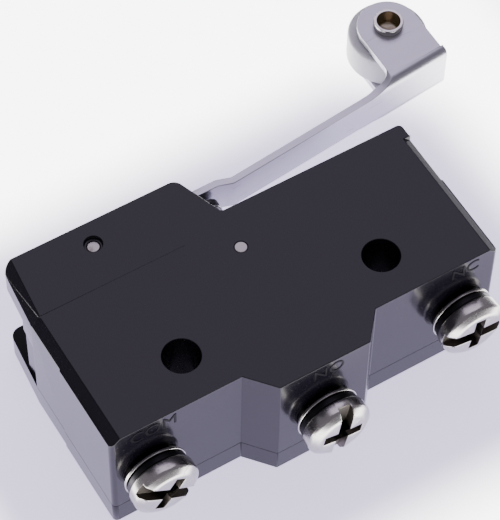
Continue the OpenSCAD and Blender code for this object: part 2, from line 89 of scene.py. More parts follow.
# The witness groove on the front: its place in Y, and its depth at the left end and further right.
GROOVE_Y = 12.05 * MM
GROOVE_LEFT = 0.05 * MM
GROOVE_RIGHT = 0.015 * MM

# How far each terminal bush stands out of the case.
BUSH_STAND = 0.35 * MM

# The floor's glow is a painted pool of light: it grows with distance from the switch, so that the dimmer
# glow next to it is a painted soft shadow, and fades far off and, in X, past the right end.
NEAR_SHADE = (8 * MM, 20 * MM)
FAR_FADE = (45 * MM, 90 * MM)
RIGHT_FADE = (48 * MM, 64 * MM)
NEAR_GLOW = (0.18, 0.165, 0.24, 1)
FAR_GLOW = (0.05, 0.05, 0.054, 1)


# ---------- settings ----------

class HousingSettings(bpy.types.PropertyGroup):
    edge: FloatProperty(
        name="Edge Radius", description="Radius of the moulded edges", default=0.10 * MM,
        unit="LENGTH", precision=5
    )
    plastic: FloatVectorProperty(
        name="Plastic", description="Colour of the moulded case", default=(0.0068, 0.0056, 0.0100),
        subtype="COLOR", min=0, max=1
    )
    roughness: FloatProperty(
        name="Roughness", description="Roughness of the moulded faces", default=0.17,
        subtype="FACTOR", min=0, max=1
    )
    mark_height: FloatProperty(
        name="Mark Height", description="Height of the terminal marks", default=1.7 * MM,
        unit="LENGTH", precision=5
    )


class MetalSettings(bpy.types.PropertyGroup):
    lever: FloatVectorProperty(
        name="Lever", description="Colour of the lever's sheet", default=(0.56, 0.55, 0.60),
        subtype="COLOR", min=0, max=1
    )
    nickel: FloatVectorProperty(
        name="Nickel", description="Colour of the plated screws and pins", default=(0.72, 0.69, 0.66),
        subtype="COLOR", min=0, max=1
    )
    brass: FloatVectorProperty(
        name="Brass", description="Colour of the terminal strips", default=(0.74, 0.52, 0.20),
        subtype="COLOR", min=0, max=1
    )
    sheet_edge: FloatProperty(
        name="Sheet Edge", description="Radius of the lever's edges", default=0.07 * MM,
        unit="LENGTH", precision=5
    )


class ScrewSettings(bpy.types.PropertyGroup):
    slot_width: FloatProperty(
        name="Slot Width", description="Width of the slot across each head", default=1.55 * MM,
        unit="LENGTH", precision=5
    )
    cross_width: FloatProperty(
        name="Cross Width", description="Width of the short arm across the slot", default=1.3 * MM,
        unit="LENGTH", precision=5
    )
    core: FloatProperty(
        name="Core Radius", description="Radius of the shank under its thread", default=1.95 * MM,
        unit="LENGTH", precision=5
    )
    pitch: FloatProperty(
        name="Thread Pitch", description="Pitch of the thread", default=0.7 * MM, unit="LENGTH", precision=5
    )


class SpringSettings(bpy.types.PropertyGroup):
    turns: FloatProperty(name="Turns", description="Turns of the return spring", default=6.0, min=2, max=12)
    wire: FloatProperty(
        name="Wire", description="Wire diameter of the return spring", default=0.4 * MM,
        unit="LENGTH", precision=5
    )
    inner_wire: FloatProperty(
        name="Inner Wire", description="Wire diameter of the overtravel spring", default=0.25 * MM,
        unit="LENGTH", precision=5
    )
    sides: IntProperty(name="Wire Sides", description="Faces round the wire", default=14, min=6, max=32)


class StageSettings(bpy.types.PropertyGroup):
    azimuth: FloatProperty(
        name="Azimuth", description="Side that the camera stands on", default=math.radians(-32.181),
        subtype="ANGLE"
    )
    elevation: FloatProperty(
        name="Elevation", description="Camera's height above the floor", default=math.radians(56.533),
        subtype="ANGLE"
    )
    roll: FloatProperty(
        name="Roll", description="Camera's tilt about its view", default=math.radians(1.34), subtype="ANGLE"
    )
    distance: FloatProperty(
        name="Distance", description="Camera's distance from the aim", default=0.29264, unit="LENGTH"
    )
    lens: FloatProperty(
        name="Lens", description="Focal length in millimetres", default=178.1, min=20, max=400
    )
    aim: FloatVectorProperty(
        name="Aim", description="Point that the camera looks at", default=(0.003045, 0.011697, 0.0087),
        subtype="TRANSLATION", unit="LENGTH", precision=5
    )
    sky: FloatProperty(
        name="Sky", description="Strength of the surrounding light", default=0.25, min=0, max=10
    )
    lamp: FloatProperty(
        name="Lamp", description="Power of the softbox in watts", default=0.7, min=0, max=20
    )
    glow: FloatProperty(name="Floor Glow", description="Light of the lit floor", default=7.0, min=0, max=20)


# ---------- shader arithmetic ----------

class Value:
    """A shader socket that can be used in ordinary arithmetic; each operation adds one Math node."""

    def __init__(self, finish, socket):
        self.finish = finish
        self.socket = socket

    def math(self, operation, *others):
        sockets = dict(enumerate((self, *others)))
        return self.finish.node("ShaderNodeMath", sockets, operation=operation)

    def __add__(self, other):
        return self.math("ADD", other)

    __radd__ = __add__

    def __sub__(self, other):
        return self.math("SUBTRACT", other)

    def __rsub__(self, other):
        return self.finish.node("ShaderNodeMath", {0: other, 1: self}, operation="SUBTRACT")

    def __mul__(self, other):
        return self.math("MULTIPLY", other)

    __rmul__ = __mul__

    def __abs__(self):
        return self.math("ABSOLUTE")

    def step(self, low, high):
        """0 below low and 1 above high, with a smooth rise between; low may be the larger."""
        sockets = {"Value": self, "From Min": low, "From Max": high}
        return self.finish.node("ShaderNodeMapRange", sockets, interpolation_type="SMOOTHSTEP")


class Finish:
    """A material under construction."""

    def __init__(self, name, **uniform):
        self.material = bpy.data.materials.new(name)
        self.material.use_nodes = True
        self.tree = self.material.node_tree
        self.shader = self.tree.nodes["Principled BSDF"]
        for socket, value in uniform.items():
            self.shader.inputs[socket.replace("_", " ")].default_value = value
        self.position = self.node("ShaderNodeTexCoord", output="Object")

    def node(self, kind, sockets=None, output=0, **settings):
        """Adds a node: its settings first, then the values or links of its sockets."""
        node = self.tree.nodes.new(kind)
        for key, value in settings.items():
            setattr(node, key, value)
        for key, value in (sockets or {}).items():
            if isinstance(value, Value):
                self.tree.links.new(value.socket, node.inputs[key])
            else:
                node.inputs[key].default_value = value
        return Value(self, node.outputs[output])

    def axis(self, letter):
        return self.node("ShaderNodeSeparateXYZ", {0: self.position}, output=letter)

    def stretched(self, scale, centre=(0, 0, 0)):
        """Object coordinates moved to a centre and stretched."""
        shifted = self.node(
            "ShaderNodeVectorMath", {0: self.position, 1: centre}, operation="SUBTRACT"
        )
        return self.node("ShaderNodeVectorMath", {0: shifted, 1: scale}, operation="MULTIPLY")

    def length(self, vector):
        return self.node("ShaderNodeVectorMath", {0: vector}, output="Value", operation="LENGTH")

    def reach(self, centre):
        """Distance from a line along Z through a centre."""
        return self.length(self.stretched((1, 1, 0), centre))

    def noise(self, per_mm, detail=3, stretch=(1, 1, 1), roughness=0.5):
        vector = self.stretched(stretch)
        sockets = {"Vector": vector, "Scale": per_mm / MM, "Detail": detail, "Roughness": roughness}
        return self.node("ShaderNodeTexNoise", sockets, output="Fac")

    def mix(self, factor, first, second):
        return self.node(
            "ShaderNodeMix", {"Factor": factor, 6: first, 7: second}, output=2, data_type="RGBA"
        )

    def bump(self, height, depth, strength=1.0, under=None):
        sockets = {"Strength": strength, "Distance": depth, "Height": height}
        if under is not None:
            sockets["Normal"] = under
        return self.node("ShaderNodeBump", sockets)

    def wear(self, colour=None, roughness=None, normal=None, glow=None):
        links = {"Base Color": colour, "Roughness": roughness, "Normal": normal, "Emission Color": glow}
        for name, value in links.items():
            if value is not None:
                self.tree.links.new(value.socket, self.shader.inputs[name])
        return self.material


def tint(colour, factor):
    return (*(min(1.0, part * factor) for part in colour), 1.0)


def near(finish, letter, place, half):
    """1 on a thin line where one coordinate is near a place."""
    return abs(finish.axis(letter) - place).step(half, 0.4 * half)


# ---------- finishes ----------

def case_plastic(settings, seam):
    """Glossy moulded thermoset: faint flow clouds, orange peel, and the seam between cover and case, grooved
    and painted near black as painted shade.
    """
    made = Finish("case_plastic", IOR=1.42)
    cloud = made.noise(0.09, 4)
    grain = made.noise(3.2, 2)
    speck = made.noise(5.5, 1).step(0.70, 0.76)
    # Painted shade: a thin line along the seam between cover and case, painted near black in place of the
    # shade in the gap.
    line = near(made, "Z", seam, 0.07 * MM)
    colour = made.mix(cloud, tint(settings.plastic, 0.82), tint(settings.plastic, 1.25))
    colour = made.mix(speck * 0.35, colour, (0.06, 0.055, 0.06, 1))
    colour = made.mix(line, colour, (0.001, 0.001, 0.001, 1))
    rough = settings.roughness + (cloud - 0.5) * 0.10 + speck * 0.2 + line * 0.5
    peel = made.bump(made.noise(0.55, 2), 0.012 * MM, 0.35)
    fine = made.bump(grain, 0.002 * MM, 0.5, under=peel)
    groove = made.bump(1 - line, 0.06 * MM, 1.0, under=fine)
    return made.wear(colour, rough, groove)


def mark_plastic(settings):
    """The terminal marks: the case's plastic, darker and duller."""
    made = Finish("mark_plastic", IOR=1.2)
    cloud = made.noise(1.4, 3)
    colour = made.mix(cloud, tint(settings.plastic, 0.5), tint(settings.plastic, 0.9))
    return made.wear(colour, 0.42 + cloud * 0.08, made.bump(cloud, 0.01 * MM, 0.4))


def soft_plastic(name, colour, rough):
    """Dull moulded plastic with faint clouds and scuffs."""
    made = Finish(name, IOR=1.5)
    cloud = made.noise(0.5, 4)
    scuff = made.noise(2.4, 3, roughness=0.7).step(0.55, 0.8)
    shade = made.mix(cloud, tint(colour, 0.93), tint(colour, 1.05))
    shade = made.mix(scuff * 0.3, shade, tint(colour, 0.86))
    return made.wear(shade, rough + (cloud - 0.5) * 0.12 + scuff * 0.1, made.bump(cloud, 0.02 * MM, 0.3))


def turned_nylon(centre):
    """Off-white turned nylon with fine rings round its axis."""
    made = Finish("turned_nylon", IOR=1.52)
    rings = (made.reach(centre) * (2 * math.pi / (0.16 * MM))).math("SINE")
    cloud = made.noise(0.35, 4)
    grime = made.noise(1.1, 4, roughness=0.65).step(0.52, 0.75)
    colour = made.mix(cloud, (0.82, 0.81, 0.82, 1), (0.91, 0.90, 0.91, 1))
    colour = made.mix(grime * 0.35, colour, (0.60, 0.58, 0.57, 1))
    normal = made.bump(rings * 0.5 + cloud, 0.008 * MM, 0.5)
    return made.wear(colour, 0.38 + cloud * 0.15, normal)


def sheet_metal(name, colour, rough, along=(0.04, 1, 1), face=None):
    """Rolled sheet with fine lines, smudges and scratches, painted black as painted shade on the -Y side of
    a given face.
    """
    made = Finish(name, Metallic=1.0)
    rolled = made.noise(2.2, 5, stretch=along, roughness=0.6)
    smudge = made.noise(0.22, 4, roughness=0.6)
    scratch = made.noise(1.3, 2, stretch=(0.12, 2.4, 1.7)).step(0.66, 0.72)
    shade = made.mix(smudge, tint(colour, 0.86), tint(colour, 1.12))
    shade = made.mix(rolled * 0.30, shade, tint(colour, 1.25))
    shade = made.mix(scratch * 0.5, shade, tint(colour, 0.72))
    # Painted shade: past the given face, in the gap under the washer, the sheet is painted near black.
    if face is not None:
        outside = 1 - made.axis("Y").step(face, face + 0.2 * MM)
        shade = made.mix(outside, shade, (0.016, 0.014, 0.014, 1))
    dull = rough + (rolled - 0.5) * 0.18 + (smudge - 0.5) * 0.14
    height = rolled + scratch * -0.6
    return made.wear(shade, dull, made.bump(height, 0.012 * MM, 0.35))


def plated(name, colour, rough, stain=(0.30, 0.22, 0.14), stain_share=0.25, bore=None):
    """Barrel-plated metal: tiny dents, cloudy gloss, stained patches; a bore (centre, radius) is browned."""
    made = Finish(name, Metallic=1.0)
    cloud = made.noise(0.6, 4, roughness=0.6)
    dent = made.noise(2.6, 3)
    patch = made.noise(0.9, 5, roughness=0.68).step(0.56, 0.72)
    shade = made.mix(cloud, tint(colour, 0.82), tint(colour, 1.15))
    shade = made.mix(patch * stain_share, shade, (*stain, 1))
    if bore:
        centre, radius = bore
        inside = 1 - made.reach(centre).step(radius - 0.02 * MM, radius + 0.06 * MM)
        shade = made.mix(inside * (0.75 + dent * 0.25), shade, (0.42, 0.36, 0.25, 1))
    dull = rough + (cloud - 0.5) * 0.14 + patch * 0.16
    return made.wear(shade, dull, made.bump(dent + cloud * 0.5, 0.014 * MM, 0.35))


def drawn_wire(name, colour):
    """Bright wire with streaks along its drawing."""
    made = Finish(name, Metallic=1.0)
    streak = made.noise(4.0, 3, stretch=(1, 0.4, 1))
    shade = made.mix(streak, tint(colour, 0.8), tint(colour, 1.2))
    return made.wear(shade, 0.20 + streak * 0.18, made.bump(streak, 0.006 * MM, 0.4))


# ---------- mesh tools ----------

def filleted(corners, steps=5):
    """A profile through (radius, height, fillet) corners, each turned into an arc of its fillet."""
    points = []
    count = len(corners)
    for index, (x, y, fillet) in enumerate(corners):
        here = Vector((x, y))
        if not fillet or index in (0, count - 1):
            points.append(here)
            continue
        back = (Vector(corners[index - 1][:2]) - here).normalized()
        ahead = (Vector(corners[index + 1][:2]) - here).normalized()
        half = back.angle(ahead) / 2
        reach = fillet / math.tan(half)
        centre = here + (back + ahead).normalized() * fillet / math.sin(half)
        first = here + back * reach - centre
        last = here + ahead * reach - centre
        turn = first.angle_signed(last)
        for step in range(steps + 1):
            angle = -turn * step / steps
            points.append(centre + Matrix.Rotation(angle, 2) @ first)
    return points


def object_from(name, mesh, material=None):
    made = bpy.data.objects.new(name, mesh)
    bpy.context.scene.collection.objects.link(made)
    if material:
        made.data.materials.clear()
        made.data.materials.append(material)
    return made


def mesh_from(name, build):
    """A mesh filled by build(bmesh), with its doubles merged and its faces turned outwards."""
    work = bmesh.new()
    build(work)
    bmesh.ops.remove_doubles(work, verts=work.verts, dist=0.0005 * MM)
    bmesh.ops.recalc_face_normals(work, faces=work.faces)
    mesh = bpy.data.meshes.new(name)
    work.to_mesh(mesh)
    work.free()
    return mesh


def smooth(mesh, degrees=32):
    mesh.shade_smooth()
    mesh.set_sharp_from_angle(angle=math.radians(degrees))


def lathe(name, profile, place, closed=False, segments=96):
    """Revolves (radius, height) points about the local Z axis, then moves the mesh by place."""
    def build(work):
        rings = []
        for radius, height in profile:
            ring = []
            for step in range(segments if radius > 1e-9 else 1):
                angle = 2 * math.pi * step / segments
                ring.append(work.verts.new((radius * math.cos(angle), radius * math.sin(angle), height)))
            rings.append(ring)
        pairs = list(zip(rings, rings[1:]))
        if closed:
            pairs.append((rings[-1], rings[0]))
        for lower, upper in pairs:
            for step in range(segments):
                after = (step + 1) % segments
                corners = [lower[step % len(lower)], lower[after % len(lower)],
                           upper[after % len(upper)], upper[step % len(upper)]]
                face = list(dict.fromkeys(corners))
                if len(face) > 2:
                    work.faces.new(face)
    mesh = mesh_from(name, build)
    mesh.transform(place)
    smooth(mesh)
    return mesh


def evaluated(name, source):
    """The source object's mesh with its modifiers applied; the source is removed."""
    graph = bpy.context.evaluated_depsgraph_get()
    mesh = bpy.data.meshes.new_from_object(source.evaluated_get(graph))
    mesh.name = name
    old = source.data
    bpy.data.objects.remove(source)
    bpy.data.meshes.remove(old)
    return mesh


def shallower_groove(work):
    """Lifts the floor of the witness groove close to the case's front, least at its left end."""
    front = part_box("case")[1].z
    for vert in work.verts:
        at_depth = front - 0.3 * MM < vert.co.z < front - 0.05 * MM
        if at_depth and abs(vert.co.y - GROOVE_Y) < 0.2 * MM:
            left = vert.co.x < -20 * MM
            vert.co.z = front - (GROOVE_LEFT if left else GROOVE_RIGHT)


def softened(node, width, prepare=None):
    """A copy of a CAD node's mesh, changed by prepare(bmesh) if given, with its hard edges rounded.

    Edges of narrow faces and of the seam are rounded less, and flat faces are kept flat.
    """
    seam_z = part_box("back_cover")[1].z
    hard = math.radians(24)
    flat = math.radians(1)

    def build(work):
        work.from_mesh(frame["nodes"][node].data)
        if prepare:
            prepare(work)
        bmesh.ops.remove_doubles(work, verts=work.verts, dist=0.001 * MM)
        bmesh.ops.dissolve_limit(work, angle_limit=math.radians(0.5), verts=work.verts, edges=work.edges)
        for face in work.faces:
            face.smooth = True
        weight = work.edges.layers.float.new("bevel_weight_edge")
        for edge in work.edges:
            turn = edge.calc_face_angle(0)
            across = min(face.calc_area() for face in edge.link_faces) / edge.calc_length()
            if turn > hard:
                seam = all(abs(vert.co.z - seam_z) < 0.01 * MM for vert in edge.verts)
                edge[weight] = min(0.25 if seam else 1, 0.3 * across / width)
            elif turn > flat and across > 0.8 * MM:
                edge.smooth = False
    source = object_from(node + "_source", mesh_from(node + "_source", build))
    bevel = source.modifiers.new("Edges", "BEVEL")
    bevel.width = width
    bevel.segments = 3
    bevel.limit_method = "WEIGHT"
    bevel.use_clamp_overlap = False
    weights = source.modifiers.new("Normals", "WEIGHTED_NORMAL")
    weights.keep_sharp = True
    return evaluated(node + "_finished", source)


def carried(mesh, node, material):
    """A finished mesh on a CAD node's body; with no material it keeps its own."""
    piece = object_from(mesh.name, mesh, material)
    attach(piece, frame["nodes"][node]["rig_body"])
    return piece


def stands_for(mesh, node, material):
    """Shows a finished mesh in place of a CAD node, on the same body."""
    piece = carried(mesh, node, material)
    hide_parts(node)
    return piece


def facing_out(x, y, z, turn=0):
    """The place of a piece whose local Z points out of the terminal side, turned about that axis."""
    upright = Matrix.Rotation(math.radians(90), 4, "X")
    return Matrix.Translation((x, y, z)) @ upright @ Matrix.Rotation(math.radians(turn), 4, "Z")


def paint(node, material):
    slots = frame["nodes"][node].data.materials
    slots.clear()
    slots.append(material)


def middle(node):
    low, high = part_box(node)
    return (low + high) / 2


# ---------- geometry nodes ----------

class Tree:
    """A Geometry Nodes group with named inputs."""

    def __init__(self, name, inputs):
        self.group = bpy.data.node_groups.new(name, "GeometryNodeTree")
        self.names = {}
        for label, kind in inputs.items():
            socket = self.group.interface.new_socket(label, in_out="INPUT", socket_type=kind)
            self.names[label] = socket.identifier
        self.group.interface.new_socket("Geometry", in_out="OUTPUT", socket_type="NodeSocketGeometry")
        self.input = self.group.nodes.new("NodeGroupInput")
        self.output = self.group.nodes.new("NodeGroupOutput")

    def add(self, kind, sockets=None, **settings):
        node = self.group.nodes.new(kind)
        for key, value in settings.items():
            setattr(node, key, value)
        for key, value in (sockets or {}).items():
            if isinstance(value, bpy.types.NodeSocket):
                self.group.links.new(value, node.inputs[key])
            elif isinstance(value, bpy.types.Node):
                self.group.links.new(value.outputs[0], node.inputs[key])
            else:
                node.inputs[key].default_value = value
        return node

    def math(self, operation, first, second):
        return self.add("ShaderNodeMath", {0: first, 1: second}, operation=operation)

    def finish(self, geometry, material):
        realized = self.add("GeometryNodeRealizeInstances", {"Geometry": geometry})
        painted = self.add("GeometryNodeSetMaterial", {"Geometry": realized, "Material": material})
        self.group.links.new(painted.outputs[0], self.output.inputs[0])

    def mesh(self, name, values):
        """Runs the group with these input values and returns the mesh that it makes."""
        source = object_from(name + "_source", bpy.data.meshes.new(name + "_source"))
        modifier = source.modifiers.new("Nodes", "NODES")
        modifier.node_group = self.group
        for label, value in values.items():
            modifier[self.names[label]] = value
        source.update_tag()
        return evaluated(name, source)


def coil_tree():
    """Wire wound into a spring along +Z, with its end coils closed."""
    tree = Tree("closed_coil", {
        "Radius": "NodeSocketFloat", "Wire": "NodeSocketFloat", "Height": "NodeSocketFloat",
        "Turns": "NodeSocketFloat", "Sides": "NodeSocketInt", "Material": "NodeSocketMaterial",
    })
    given = tree.input.outputs
    spiral = tree.add("GeometryNodeCurveSpiral", {
        "Resolution": 40, "Rotations": given["Turns"], "Start Radius": given["Radius"],
        "End Radius": given["Radius"], "Height": 0.0,
    })
    factor = tree.add("GeometryNodeSplineParameter").outputs["Factor"]
    closed = tree.math("MULTIPLY", tree.math("MULTIPLY", given["Turns"], given["Wire"]), factor)
    free = tree.math("SUBTRACT", given["Height"], tree.math("MULTIPLY", given["Turns"], given["Wire"]))
    dead = tree.math("DIVIDE", 0.9, given["Turns"])
    rise = tree.add("ShaderNodeMapRange", {
        "Value": factor, "From Min": dead, "From Max": tree.math("SUBTRACT", 1.0, dead),
    })
    height = tree.math("ADD", closed, tree.math("MULTIPLY", free, rise))
    offset = tree.add("ShaderNodeCombineXYZ", {"Z": height})
    placed = tree.add("GeometryNodeSetPosition", {"Geometry": spiral, "Offset": offset})
    ring = tree.add("GeometryNodeCurvePrimitiveCircle", {
        "Resolution": given["Sides"], "Radius": tree.math("MULTIPLY", given["Wire"], 0.5),
    })
    wire = tree.add("GeometryNodeCurveToMesh", {"Curve": placed, "Profile Curve": ring, "Fill Caps": True})
    soft = tree.add("GeometryNodeSetShadeSmooth", {"Geometry": wire, "Shade Smooth": True})
    tree.finish(soft, given["Material"])
    return tree


def thread_tree():
    """The raised helix of a screw thread along +Z."""
    tree = Tree("screw_thread", {
        "Radius": "NodeSocketFloat", "Depth": "NodeSocketFloat", "Pitch": "NodeSocketFloat",
        "Length": "NodeSocketFloat", "Material": "NodeSocketMaterial",
    })
    given = tree.input.outputs
    turns = tree.math("DIVIDE", given["Length"], given["Pitch"])
    spiral = tree.add("GeometryNodeCurveSpiral", {
        "Resolution": 36, "Rotations": turns, "Start Radius": given["Radius"],
        "End Radius": given["Radius"], "Height": given["Length"],
    })
    ridge = tree.add("GeometryNodeCurvePrimitiveCircle", {"Resolution": 3, "Radius": given["Depth"]})
    thread = tree.add(
        "GeometryNodeCurveToMesh", {"Curve": spiral, "Profile Curve": ridge, "Fill Caps": True}
    )
    tree.finish(thread, given["Material"])
    return tree


# ---------- pieces ----------

class DressHousing(bpy.types.Operator):
    """Rounds the edges of the case and its cover, and gives them glossy moulded plastic"""
    bl_idname = "switch.dress_housing"
    bl_label = "Housing"

    def execute(self, context):
        settings = context.scene.switch_housing
        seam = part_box("back_cover")[1].z
        plastic = case_plastic(settings, seam)
        for node in ("case", "back_cover"):
            stands_for(softened(node, settings.edge, shallower_groove), node, plastic)
        return {"FINISHED"}


class AddTerminalMarks(bpy.types.Operator):
    """Adds the raised contact marks beside the three terminal screws"""
    bl_idname = "switch.add_terminal_marks"
    bl_label = "Terminal Marks"

    def execute(self, context):
        settings = context.scene.switch_housing
        material = mark_plastic(settings)
        beside = 0.45 * MM
        below_top = 1.1 * MM
        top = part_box("case")[1].z
        for terminal in TERMINALS:
            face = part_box(terminal + "_washer")[1].y + BUSH_STAND
            text = bpy.data.curves.new("mark", "FONT")
            text.body = terminal.upper()
            text.size = settings.mark_height * 1.5
            text.align_x = "CENTER"
            text.align_y = "BOTTOM"
            text.extrude = 0.05 * MM
            source = bpy.data.objects.new("mark", text)
            context.scene.collection.objects.link(source)
            graph = context.evaluated_depsgraph_get()
            mesh = bpy.data.meshes.new_from_object(source.evaluated_get(graph))
            bpy.data.objects.remove(source)
            mesh.name = terminal + "_mark"
            foot = top - below_top - settings.mark_height
            mesh.transform(facing_out(middle(terminal + "_screw").x + beside, face, foot))
            piece = object_from(mesh.name, mesh, material)
            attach(piece, "case")
        return {"FINISHED"}


class DressPins(bpy.types.Operator):
    """Makes the hinge pin and the cover pin with eased ends"""
    bl_idname = "switch.dress_pins"
    bl_label = "Pins"

    def execute(self, context):
        nickel = plated("pin_nickel", tint(context.scene.switch_metal.nickel, 0.55)[:3], 0.32)
        for node in ("hinge_pin", "cover_pin"):
            low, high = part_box(node)
            radius = (high.x - low.x) / 2
            ease = 0.12 * MM
            profile = filleted([
                (0, low.z, 0), (radius, low.z, ease), (radius, high.z, ease), (0, high.z, 0),
            ])
            centre = middle(node)
            place = Matrix.Translation((centre.x, centre.y, 0))
            stands_for(lathe(node + "_finished", profile, place, segments=48), node, nickel)
        return {"FINISHED"}


class DressLever(bpy.types.Operator):
    """Rounds the lever's edges and gives it rolled stainless sheet"""
    bl_idname = "switch.dress_lever"
    bl_label = "Lever"

    def execute(self, context):
        metal = context.scene.switch_metal
        steel = sheet_metal("lever_sheet", metal.lever, 0.36)
        stands_for(softened("lever", metal.sheet_edge), "lever", steel)
        return {"FINISHED"}


class DressRoller(bpy.types.Operator):
    """Turns the nylon roller and the hollow rivet that it runs on"""
    bl_idname = "switch.dress_roller"
    bl_label = "Roller"

    def execute(self, context):
        pivot = Vector(JOINTS["roller_spin"]["pos_m"])
        self.make_roller(pivot)
        self.make_rivet(pivot, context.scene.switch_metal)
        return {"FINISHED"}

    def make_roller(self, pivot):
        """A bored wheel with a shallow relief round the bore on both sides."""
        low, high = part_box("roller")
        radius = (high.x - low.x) / 2
        bore = 1.75 * MM
        edge = 0.45 * MM
        relief = 0.12 * MM
        profile = filleted([
            (bore, low.z + relief, 0.05 * MM), (bore + 1.0 * MM, low.z + relief, 0.05 * MM),
            (bore + 1.1 * MM, low.z, 0.05 * MM), (radius, low.z, edge), (radius, high.z, edge),
            (bore + 1.1 * MM, high.z, 0.05 * MM), (bore + 1.0 * MM, high.z - relief, 0.05 * MM),
            (bore, high.z - relief, 0.05 * MM),
        ])
        place = Matrix.Translation((pivot.x, pivot.y, 0))
        mesh = lathe("roller_finished", profile, place, closed=True, segments=128)
        stands_for(mesh, "roller", turned_nylon(tuple(pivot)))

    def make_rivet(self, pivot, metal):
        """A domed head on the back ear and a flared, hollow end on the front one."""
        low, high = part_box("roller_rivet")
        head = (high.x - low.x) / 2
        shank = 1.70 * MM
        bore = 1.40 * MM
        ear_back = low.z + 1.0 * MM
        lip = high.z
        profile = filleted([
            (0, low.z, 0), (head * 0.62, low.z + 0.06 * MM, 0.5 * MM),
            (head, ear_back - 0.35 * MM, 0.2 * MM), (head, ear_back, 0.05 * MM),
            (shank, ear_back, 0), (shank, lip - 0.5 * MM, 0.2 * MM),
            (shank + 0.13 * MM, lip - 0.25 * MM, 0.1 * MM), (shank + 0.05 * MM, lip, 0.07 * MM),
            (bore, lip, 0.08 * MM), (bore - 0.03 * MM, lip - 2.1 * MM, 0.3 * MM), (0, lip - 2.4 * MM, 0),
        ])
        place = Matrix.Translation((pivot.x, pivot.y, 0))
        mesh = lathe("roller_rivet_finished", profile, place)
        stands_for(mesh, "roller_rivet", plated(
            "rivet_nickel", metal.nickel, 0.20, stain_share=0.4, bore=(tuple(pivot), bore),
        ))


class DressPlunger(bpy.types.Operator):
    """Rounds the plunger's edges and winds its two springs"""
    bl_idname = "switch.dress_plunger"
    bl_label = "Plunger and Springs"

    def execute(self, context):
        settings = context.scene.switch_spring
        dark = soft_plastic("plunger_plastic", (0.030, 0.028, 0.032), 0.38)
        stands_for(softened("plunger", 0.06 * MM), "plunger", dark)
        wire = drawn_wire("spring_wire", (0.66, 0.65, 0.67))
        tree = coil_tree()
        for node, thickness, turns in (
            ("return_spring", settings.wire, settings.turns),
            ("overtravel_spring", settings.inner_wire, 5.0),
        ):
            low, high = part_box(node)
            centre = middle(node)
            length = high.y - low.y
            mesh = tree.mesh(node + "_wound", {
                "Radius": (high.x - low.x - thickness) / 2, "Wire": thickness,
                "Height": length - thickness, "Turns": turns, "Sides": settings.sides, "Material": wire,
            })
            lift = Matrix.Translation((centre.x, low.y + thickness / 2, centre.z))
            mesh.transform(lift @ Matrix.Rotation(math.radians(-90), 4, "X"))
            piece = object_from(mesh.name, mesh, wire)
            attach(piece, "case")
            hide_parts(node)
            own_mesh(piece)
        return {"FINISHED"}


class DressContacts(bpy.types.Operator):
    """Gives the terminal strips, the snap blade and the contacts their metals"""
    bl_idname = "switch.dress_contacts"
    bl_label = "Contacts"

    def execute(self, context):
        metal = context.scene.switch_metal
        bronze = sheet_metal("blade_bronze", (0.72, 0.45, 0.24), 0.26, along=(0.05, 1, 1))
        silver = plated("contact_silver", (0.80, 0.79, 0.77), 0.24, stain=(0.35, 0.32, 0.30))
        for terminal in TERMINALS:
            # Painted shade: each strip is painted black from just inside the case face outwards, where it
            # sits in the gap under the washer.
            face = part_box(terminal + "_washer")[1].y + BUSH_STAND + 0.05 * MM
            brass = sheet_metal(terminal + "_brass", metal.brass, 0.30, along=(0.3, 0.3, 1), face=face)
            paint(terminal + "_terminal", brass)
        paint("snap_blade", bronze)
        for node in ("moving_contact", "no_contact", "nc_contact"):
            paint(node, silver)
        return {"FINISHED"}


